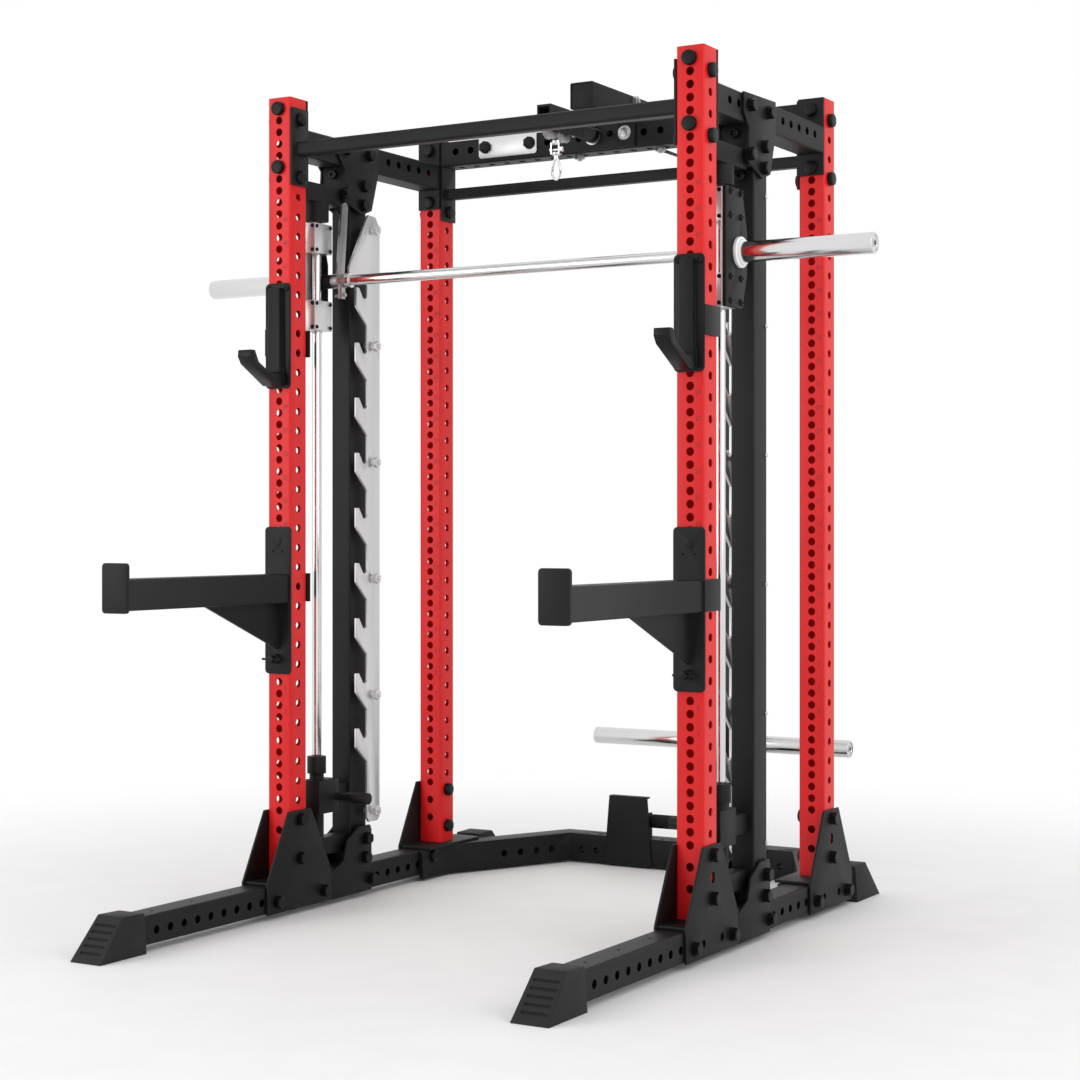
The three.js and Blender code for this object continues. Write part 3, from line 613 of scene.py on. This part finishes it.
def show_cad_nodes(materials):
    holes = node_holes()
    for node, source in frame["nodes"].items():
        keys = [key for key in LOOKS if node.startswith(key)]
        if not keys:
            continue
        look, edge = LOOKS[max(keys, key=len)]
        bm = cad_copy(node)
        round_corners(bm, corners_of(node))
        soften(bm, edge)
        if node in holes:
            bm = drilled(bm, holes[node])
        piece = finish_piece(f"{node}_fine", bm, materials[look], source["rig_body"])
        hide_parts(node)


# ---- cable drops: straight round cords that take the place of the CAD drop parts ----
DROP_STEPS = 24
DROP_SIDES = 12


def cable_drop(name, node, materials):
    low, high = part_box(node)
    middle = (low + high) / 2
    radius = (high.x - low.x) / 2 / MM
    length = (high.z - low.z) / MM
    bm = bmesh.new()
    rings = [(radius, length * step / DROP_STEPS) for step in range(DROP_STEPS + 1)]
    turned(bm, rings, facing(Vector((middle.x, middle.y, low.z)), (0, 0, 1)), DROP_SIDES)
    piece = finish_piece(name, bm, materials["cable_sheath"], None)
    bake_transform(piece)
    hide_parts(node)


# ---- bolts and small hardware: profiles as (radius, height) from the face they stand on ----
BIG_HEAD = [(17.5, 0), (17.5, 10.5), (16.6, 12.4), (14.5, 13.4), (7, 13.8), (0.5, 13.8)]
FLANGE_BOLT = [(16.5, 0), (16.5, 2.5), (13.8, 2.5, "hex"), (13.8, 15, "hex"), (12.4, 16.6)]
HEX_BOLT = [(17.5, 0), (17.5, 1.2), (15, 1.2, "hex"), (15, 9, "hex"), (14, 10.2)]
HEX_NUT = [(14, 0), (14, 1.5), (12, 1.5, "hex"), (12, 10, "hex"), (10.5, 11), (6, 11), (6, 14.5), (5.2, 15)]
DISC = [(20, 0), (20, 2), (17.5, 3.5), (14, 3.5), (13, 5), (11, 5.5)]
WASHER = [(24, 0), (24, 2)]
STOP = [(23, 0), (23, 20), (21.5, 22.5), (14, 23.5), (0.5, 23.7)]
STUD_END = [(6, 0), (6, 2), (4.5, 2), (4.5, 4), (3.5, 4.8)]
BIG_SCREW = [(12, 0), (12, 7), (10.5, 9), (6.5, 9), (6, 9, "hex"), (6, 4, "hex")]
SCREW = [(5, 0), (5, 2.6), (4.2, 3.6), (2.6, 3.6), (2.2, 3.6, "hex"), (2.2, 1.4, "hex")]
BUTTON = [(8, 0), (8, 1.5), (6.8, 4), (4.6, 5.2), (3.6, 5.2), (3, 5.2, "hex"), (3, 2.4, "hex")]

# Where the fasteners are, in plan millimetres.
FRAME_BOLT_Z = (2065, 1915)
FRAME_SIDE_BOLT_Z = (2039.5, 1889.5)
REAR_FOOT_BOLT_Z = (243, 140)
RAIL_END_BOLT = (538.7, 260, 67)
TOP_BRACKET_YZ = [(-150, 1994), (-45, 1993), (-71, 1906), (-153, 1877), (-75, 1854)]
SMITH_BASE_YZ = [(-59, 156), (-65, 106), (-36, 44)]
UPRIGHT_BASE_Y = 352
UPRIGHT_BASE_YZ = [(0, 242), (0, 142), (-97, 43), (103, 43)]
CARRIAGE_SCREW_Y = (-235.5, -178)
CARRIAGE_SCREW_Z = (1781, 1724, 1579, 1522)
CARRIAGE_FACE = 617
COLUMN_SCREW_YZ = [(-112.3, 1834), (-150, 1930)]
BEARING_SCREW_Z = (1718, 1780, 1516, 1578)
BEARING_INSIDE = UPRIGHT_X - 22
BEARING_FRONT_Y = ROD_Y - 38
BEARING_SCREW_STEP_Y = 30
BEARING_SCREW_STEP_X = 15
STUD_NUT_X = 525
STUD_END_X = 620
CUP_SCREW_XZ = (28, 1603)
NAME_BOLT_STEP = 72
NAME_PLATE_FACE = 4 + GAP
WASHER_FACE = 7
STOP_FACE = 9
BEAM_NUT_XZ = (-112, 2074)
BEAM_WASHER_XZ = (-53, 2056)
BEAM_STOP_XZ = (-53, 2060)
BEAM_DISC_XZ = (45, 2057)
UNDER_NUT_X = (-116, 133)
LAT_BEAM_NUT_YZ = (390, 2155)


def hardware(name, spots, rings, material, body="frame"):
    """One piece holding a fastener at each (place, normal)."""
    bm = bmesh.new()
    for place, normal in spots:
        turned(bm, rings, facing(place, normal))
    return finish_piece(name, bm, material, body, smooth=30)


def frame_bolt_spots(side):
    """The big bolt heads that hold the beams, the pull-up bar and the rear base to the uprights."""
    x = side * UPRIGHT_X
    out = (side, 0, 0)
    into = (-side, 0, 0)
    front_face = -UPRIGHT_Y - HALF_TUBE
    inner_end = UPRIGHT_Y - HALF_TUBE - GAP - PLATE
    spots = []
    for z in FRAME_BOLT_Z:
        spots.append((at(x, front_face, z), (0, -1, 0)))
        spots.append((at(x, UPRIGHT_Y + HALF_TUBE, z), (0, 1, 0)))
        spots.append((at(x, inner_end, z), (0, -1, 0)))
        spots.append((at(x, -inner_end, z), (0, 1, 0)))
    for z in FRAME_SIDE_BOLT_Z:
        for y in (-UPRIGHT_Y, UPRIGHT_Y):
            spots.append((at(side * TUBE_OUTSIDE, y, z), out))
            spots.append((at(side * PLATE_INSIDE, y, z), into))
    for z in REAR_FOOT_BOLT_Z:
        spots.append((at(side * TUBE_INSIDE, UPRIGHT_Y, z), into))
    rail_x, rail_y, rail_z = RAIL_END_BOLT
    spots.append((at(side * rail_x, rail_y, rail_z), into))
    return spots


def bracket_bolt_spots(side):
    """The flanged bolts of the Smith brackets and the upright bases. The rear bases have no inner plate."""
    front_base = [(offset - UPRIGHT_BASE_Y, z) for offset, z in UPRIGHT_BASE_YZ]
    rear_base = [(offset + UPRIGHT_BASE_Y, z) for offset, z in UPRIGHT_BASE_YZ]
    inside = TOP_BRACKET_YZ + SMITH_BASE_YZ + front_base
    outside = inside + rear_base
    spots = [(at(side * PLATE_OUTSIDE, y, z), (side, 0, 0)) for y, z in outside]
    return spots + [(at(side * PLATE_INSIDE, y, z), (-side, 0, 0)) for y, z in inside]


def bearing_screw_spots(side):
    spots = []
    for z in BEARING_SCREW_Z:
        for y in (-BEARING_SCREW_STEP_Y, BEARING_SCREW_STEP_Y):
            spots.append((at(side * BEARING_INSIDE, ROD_Y + y, z), (-side, 0, 0)))
        for x in (-BEARING_SCREW_STEP_X, BEARING_SCREW_STEP_X):
            spots.append((at(side * UPRIGHT_X + x, BEARING_FRONT_Y, z), (0, -1, 0)))
    return spots


def add_bolts(materials):
    black = materials["black_bolt"]
    toward = (0, -1, 0)
    for word, side in SIDES:
        x = side * UPRIGHT_X
        out = (side, 0, 0)
        into = (-side, 0, 0)
        hardware(f"top_bolts_{word}", frame_bolt_spots(side), BIG_HEAD, black)
        hardware(f"bracket_bolts_{word}", bracket_bolt_spots(side), FLANGE_BOLT, black)
        column = [(at(x, y, z), toward) for y, z in COLUMN_SCREW_YZ]
        hardware(f"column_screws_{word}", column, BIG_SCREW, black)
        carriage = [(at(side * CARRIAGE_FACE, y, z), out) for y in CARRIAGE_SCREW_Y for z in CARRIAGE_SCREW_Z]
        hardware(f"carriage_screws_{word}", carriage, BUTTON, black, "smith_carriage")
        hardware(f"bearing_screws_{word}", bearing_screw_spots(side), SCREW, black, "smith_carriage")
        studs = [(at(side * STUD_NUT_X, STUD_Y, z), into) for z in STUD_HEIGHTS]
        hardware(f"catch_nuts_{word}", studs, HEX_NUT, materials["plated_steel"])
        ends = [(at(side * STUD_END_X, STUD_Y, z), out) for z in STUD_HEIGHTS]
        hardware(f"stud_ends_{word}", ends, STUD_END, materials["chrome"])
        cup_x, cup_z = CUP_SCREW_XZ
        cup = [(at(x + step, SADDLE_FRONT_Y, cup_z), toward) for step in (-cup_x, cup_x)]
        hardware(f"j_cup_screws_{word}", cup, BUTTON, black, f"j_cup_{word}")


def add_rear_beam_hardware(materials):
    front = UPRIGHT_Y - HALF_TUBE
    toward = (0, -1, 0)
    steel = materials["dark_steel"]
    black = materials["black_bolt"]

    def on_beam(spot, proud=0):
        x, z = spot
        return [(at(x, front - proud, z), toward)]

    plate_bolts = []
    for step in (-NAME_BOLT_STEP, NAME_BOLT_STEP):
        plate_bolts += on_beam((NAME_PLATE_X + step, NAME_PLATE_Z), NAME_PLATE_FACE)
    hardware("name_plate_bolts", plate_bolts, HEX_BOLT, black)
    hardware("beam_nut", on_beam(BEAM_NUT_XZ), HEX_NUT, steel)
    hardware("beam_washer", on_beam(BEAM_WASHER_XZ, WASHER_FACE), WASHER, steel)
    hardware("beam_stop", on_beam(BEAM_STOP_XZ, STOP_FACE), STOP, black)
    hardware("beam_disc", on_beam(BEAM_DISC_XZ, WASHER_FACE), DISC, steel)
    under = [(at(x, UPRIGHT_Y, REAR_BEAM_Z[0]), (0, 0, -1)) for x in UNDER_NUT_X]
    hardware("beam_under_nuts", under, HEX_NUT, steel)
    nut_y, nut_z = LAT_BEAM_NUT_YZ
    side_nuts = [(at(side * HALF_TUBE, nut_y, nut_z), (side, 0, 0)) for _, side in SIDES]
    hardware("lat_beam_nuts", side_nuts, HEX_NUT, steel)


# ---- snap hook: a pear-shaped ring of round wire under a forked swivel ----
HOOK_Y = 20
RING_MIDDLE_Z = 1921
RING_HALF_HEIGHT = 28
RING_HALF_WIDTH = 11.5
RING_TAPER = 3.9
RING_STEPS = 48
WIRE_R = 3
WIRE_SIDES = 12
HOOK_SHANK_Z = 1943
HOOK_SWIVEL_Z = 1956
FORK_LEG_Z = (1958, 1988)
FORK_LEG_X = (-13, 10)
FORK_LEG_WIDTH = 3
FORK_LEG_HALF_DEPTH = 8
FORK_BOLT_Z = 1970
FORK_TOP_Z = 1984.5
FORK_NECK_Z = 1986
HOOK_SHANK = [(4.5, 0), (6.5, 1), (6.5, 12), (4.5, 14)]
HOOK_SWIVEL = [(10, 0), (11, 1), (11, 6), (10, 7)]
FORK_TOP = [(11, 0), (14, 1), (14, 4), (11, 5)]
FORK_NECK = [(9.8, 0), (10.8, 1), (10.8, 7), (8, 8.6)]
FORK_BOLT = [(6, -16, "hex"), (6, -13, "hex"), (3, -13), (3, 13), (6, 13, "hex"), (6, 19, "hex"), (5, 20)]


def ring_point(share):
    """A point on the pear outline, in plan X and Z, going once round from the top."""
    angle = 2 * math.pi * share
    height = RING_MIDDLE_Z + RING_HALF_HEIGHT * math.cos(angle)
    width = (RING_HALF_WIDTH - RING_TAPER * math.cos(angle)) * math.sin(angle)
    return width, height


def wire_ring(bm):
    """The closed ring of round wire along the pear outline."""
    loops = []
    for step in range(RING_STEPS):
        x, z = ring_point(step / RING_STEPS)
        ahead = ring_point((step + 0.5) / RING_STEPS)
        behind = ring_point((step - 0.5) / RING_STEPS)
        along = Vector((ahead[0] - behind[0], 0, ahead[1] - behind[1])).normalized()
        outward = Vector((-along.z, 0, along.x))
        loop = []
        for corner in range(WIRE_SIDES):
            angle = 2 * math.pi * corner / WIRE_SIDES
            offset = outward * math.cos(angle) + Vector((0, 1, 0)) * math.sin(angle)
            loop.append(bm.verts.new(at(x, HOOK_Y, z) + offset * WIRE_R * MM))
        loops.append(loop)
    for index, loop in enumerate(loops):
        following = loops[(index + 1) % RING_STEPS]
        for corner in range(WIRE_SIDES):
            after = (corner + 1) % WIRE_SIDES
            bm.faces.new((loop[corner], loop[after], following[after], following[corner]))


def add_snap_hook(materials):
    bm = bmesh.new()
    up = (0, 0, 1)
    wire_ring(bm)
    turned(bm, HOOK_SHANK, facing(at(0, HOOK_Y, HOOK_SHANK_Z), up))
    turned(bm, HOOK_SWIVEL, facing(at(0, HOOK_Y, HOOK_SWIVEL_Z), up))
    for x in FORK_LEG_X:
        low = at(x, HOOK_Y - FORK_LEG_HALF_DEPTH, FORK_LEG_Z[0])
        block(bm, low, at(x + FORK_LEG_WIDTH, HOOK_Y + FORK_LEG_HALF_DEPTH, FORK_LEG_Z[1]))
    turned(bm, FORK_TOP, facing(at(0, HOOK_Y, FORK_TOP_Z), up))
    turned(bm, FORK_BOLT, facing(at(0, HOOK_Y, FORK_BOLT_Z), (1, 0, 0)))
    turned(bm, FORK_NECK, facing(at(0, HOOK_Y, FORK_NECK_Z), up))
    piece = finish_piece("lat_snap_hook_fine", bm, materials["chrome"], "snap_hook")
    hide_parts("lat_snap_hook")


# ---- numbers beside the front holes, printed as very thin letters ----
NUMBER_THICKNESS = 0.12
NUMBER_LIFT = 0.1


def add_numbers(word, side, y, label, materials):
    bm = bmesh.new()
    for number in range(1, NUMBER_LAST + 1, 2):
        curve = bpy.data.curves.new("number", "FONT")
        curve.body = str(number)
        curve.size = NUMBER_HEIGHT * MM
        curve.align_x = "CENTER"
        curve.align_y = "CENTER"
        curve.extrude = NUMBER_THICKNESS * MM
        curve.resolution_u = 3
        text = bpy.data.objects.new("number", curve)
        bpy.context.scene.collection.objects.link(text)
        mesh = bpy.data.meshes.new_from_object(text.evaluated_get(bpy.context.evaluated_depsgraph_get()))
        z = NUMBER_FIRST_Z + FRONT_HOLE_PITCH * (number - 1)
        place = at(side * UPRIGHT_X + NUMBER_OFFSET_X, y - HALF_TUBE - NUMBER_LIFT, z)
        mesh.transform(Matrix.Translation(place) @ Matrix.Rotation(math.radians(90), 4, "X"))
        bm.from_mesh(mesh)
        bpy.data.objects.remove(text)
        bpy.data.meshes.remove(mesh)
        bpy.data.curves.remove(curve)
    bmesh.ops.remove_doubles(bm, verts=bm.verts, dist=1e-6)
    finish_piece(f"numbers_{label}_{word}", bm, materials["ink"], "frame")


# ---- bars and sleeves, turned with real ends ----
END_RECESS = [(23.8, 0), (19.5, 0.4), (18.8, -2.2), (9.5, -2.2), (9, 0), (6.2, 0), (5.6, -9)]
STOP_RING = [(18, 498), (19.5, 499.5), (19.5, 512), (18, 513.5)]
BAR_SEGMENTS = 48


def sleeve_rings(start, tip, radius):
    body = [(radius - 0.8, start), (radius, start + 0.8), (radius, tip - 1.6), (radius - 0.4, tip - 0.5)]
    return body + [(r, tip + h) for r, h in END_RECESS]


def add_smith_bar(materials):
    bm = bmesh.new()
    shaft = [(BAR_R, -SLEEVE_START), (BAR_R, SLEEVE_START)]
    turned(bm, shaft, facing(at(0, BAR_Y, BAR_Z), (1, 0, 0)), BAR_SEGMENTS)
    for _, side in SIDES:
        place = facing(at(0, BAR_Y, BAR_Z), (side, 0, 0))
        turned(bm, sleeve_rings(SLEEVE_START, BAR_HALF, SLEEVE_R), place, BAR_SEGMENTS)
        turned(bm, STOP_RING, place, BAR_SEGMENTS)
    bar = finish_piece("smith_bar_fine", bm, materials["chrome"], "smith_bar")
    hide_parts("smith_bar")


def add_loading_sleeves(materials):
    for word, side in SIDES:
        bm = bmesh.new()
        place = facing(at(0, MAST_Y, LAT_SLEEVE_Z), (side, 0, 0))
        turned(bm, sleeve_rings(LAT_SLEEVE_START, LAT_SLEEVE_TIP, SLEEVE_R), place, BAR_SEGMENTS)
        piece = finish_piece(f"loading_sleeve_{word}_fine", bm, materials["chrome"], "lat_carriage")
        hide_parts(f"loading_sleeve_{word}")


# ---- end plugs of the open tubes ----
UPRIGHT_CAP_Z = (2088, 2093.6)
LAT_BEAM_CAP_Y = (156, 1054)
LAT_BEAM_MIDDLE_Z = 2135
CAP_DEPTH = 5
CAP_EDGE = 1.0


def add_tube_caps(materials):
    reach = HALF_TUBE - WALL - 0.2
    for word, side in SIDES:
        bm = bmesh.new()
        x = side * UPRIGHT_X
        for y in (-UPRIGHT_Y, UPRIGHT_Y):
            low = at(x - reach, y - reach, UPRIGHT_CAP_Z[0])
            block(bm, low, at(x + reach, y + reach, UPRIGHT_CAP_Z[1]))
        soften(bm, CAP_EDGE)
        finish_piece(f"upright_caps_{word}", bm, materials["red_paint"], "frame")
    bm = bmesh.new()
    for y in LAT_BEAM_CAP_Y:
        low = at(-reach, y, LAT_BEAM_MIDDLE_Z - reach)
        block(bm, low, at(reach, y + CAP_DEPTH, LAT_BEAM_MIDDLE_Z + reach))
    soften(bm, CAP_EDGE)
    finish_piece("lat_beam_caps", bm, materials["black_paint"], "frame")


make_camera()
make_world()
make_floor()
make_softbox("key_softbox", (5.0, -1.2, 2.6), (0, -0.2, 1.1), (2.5, 3.5), 60)
make_softbox("fill_softbox", (-2.4, -3.6, 1.8), (-0.5, -0.3, 1.1), (1.6, 2.4), 34)

MATERIALS = make_materials()
show_cad_nodes(MATERIALS)
cable_drop("lat_cable_front", "lat_cable_front_drop", MATERIALS)
cable_drop("lat_cable_rear", "lat_cable_rear_drop", MATERIALS)
add_smith_bar(MATERIALS)
add_loading_sleeves(MATERIALS)
add_bolts(MATERIALS)
add_rear_beam_hardware(MATERIALS)
add_snap_hook(MATERIALS)
add_tube_caps(MATERIALS)
for side_word, side_sign in SIDES:
    add_numbers(side_word, side_sign, -UPRIGHT_Y, "front", MATERIALS)
    add_numbers(side_word, side_sign, UPRIGHT_Y, "rear", MATERIALS)
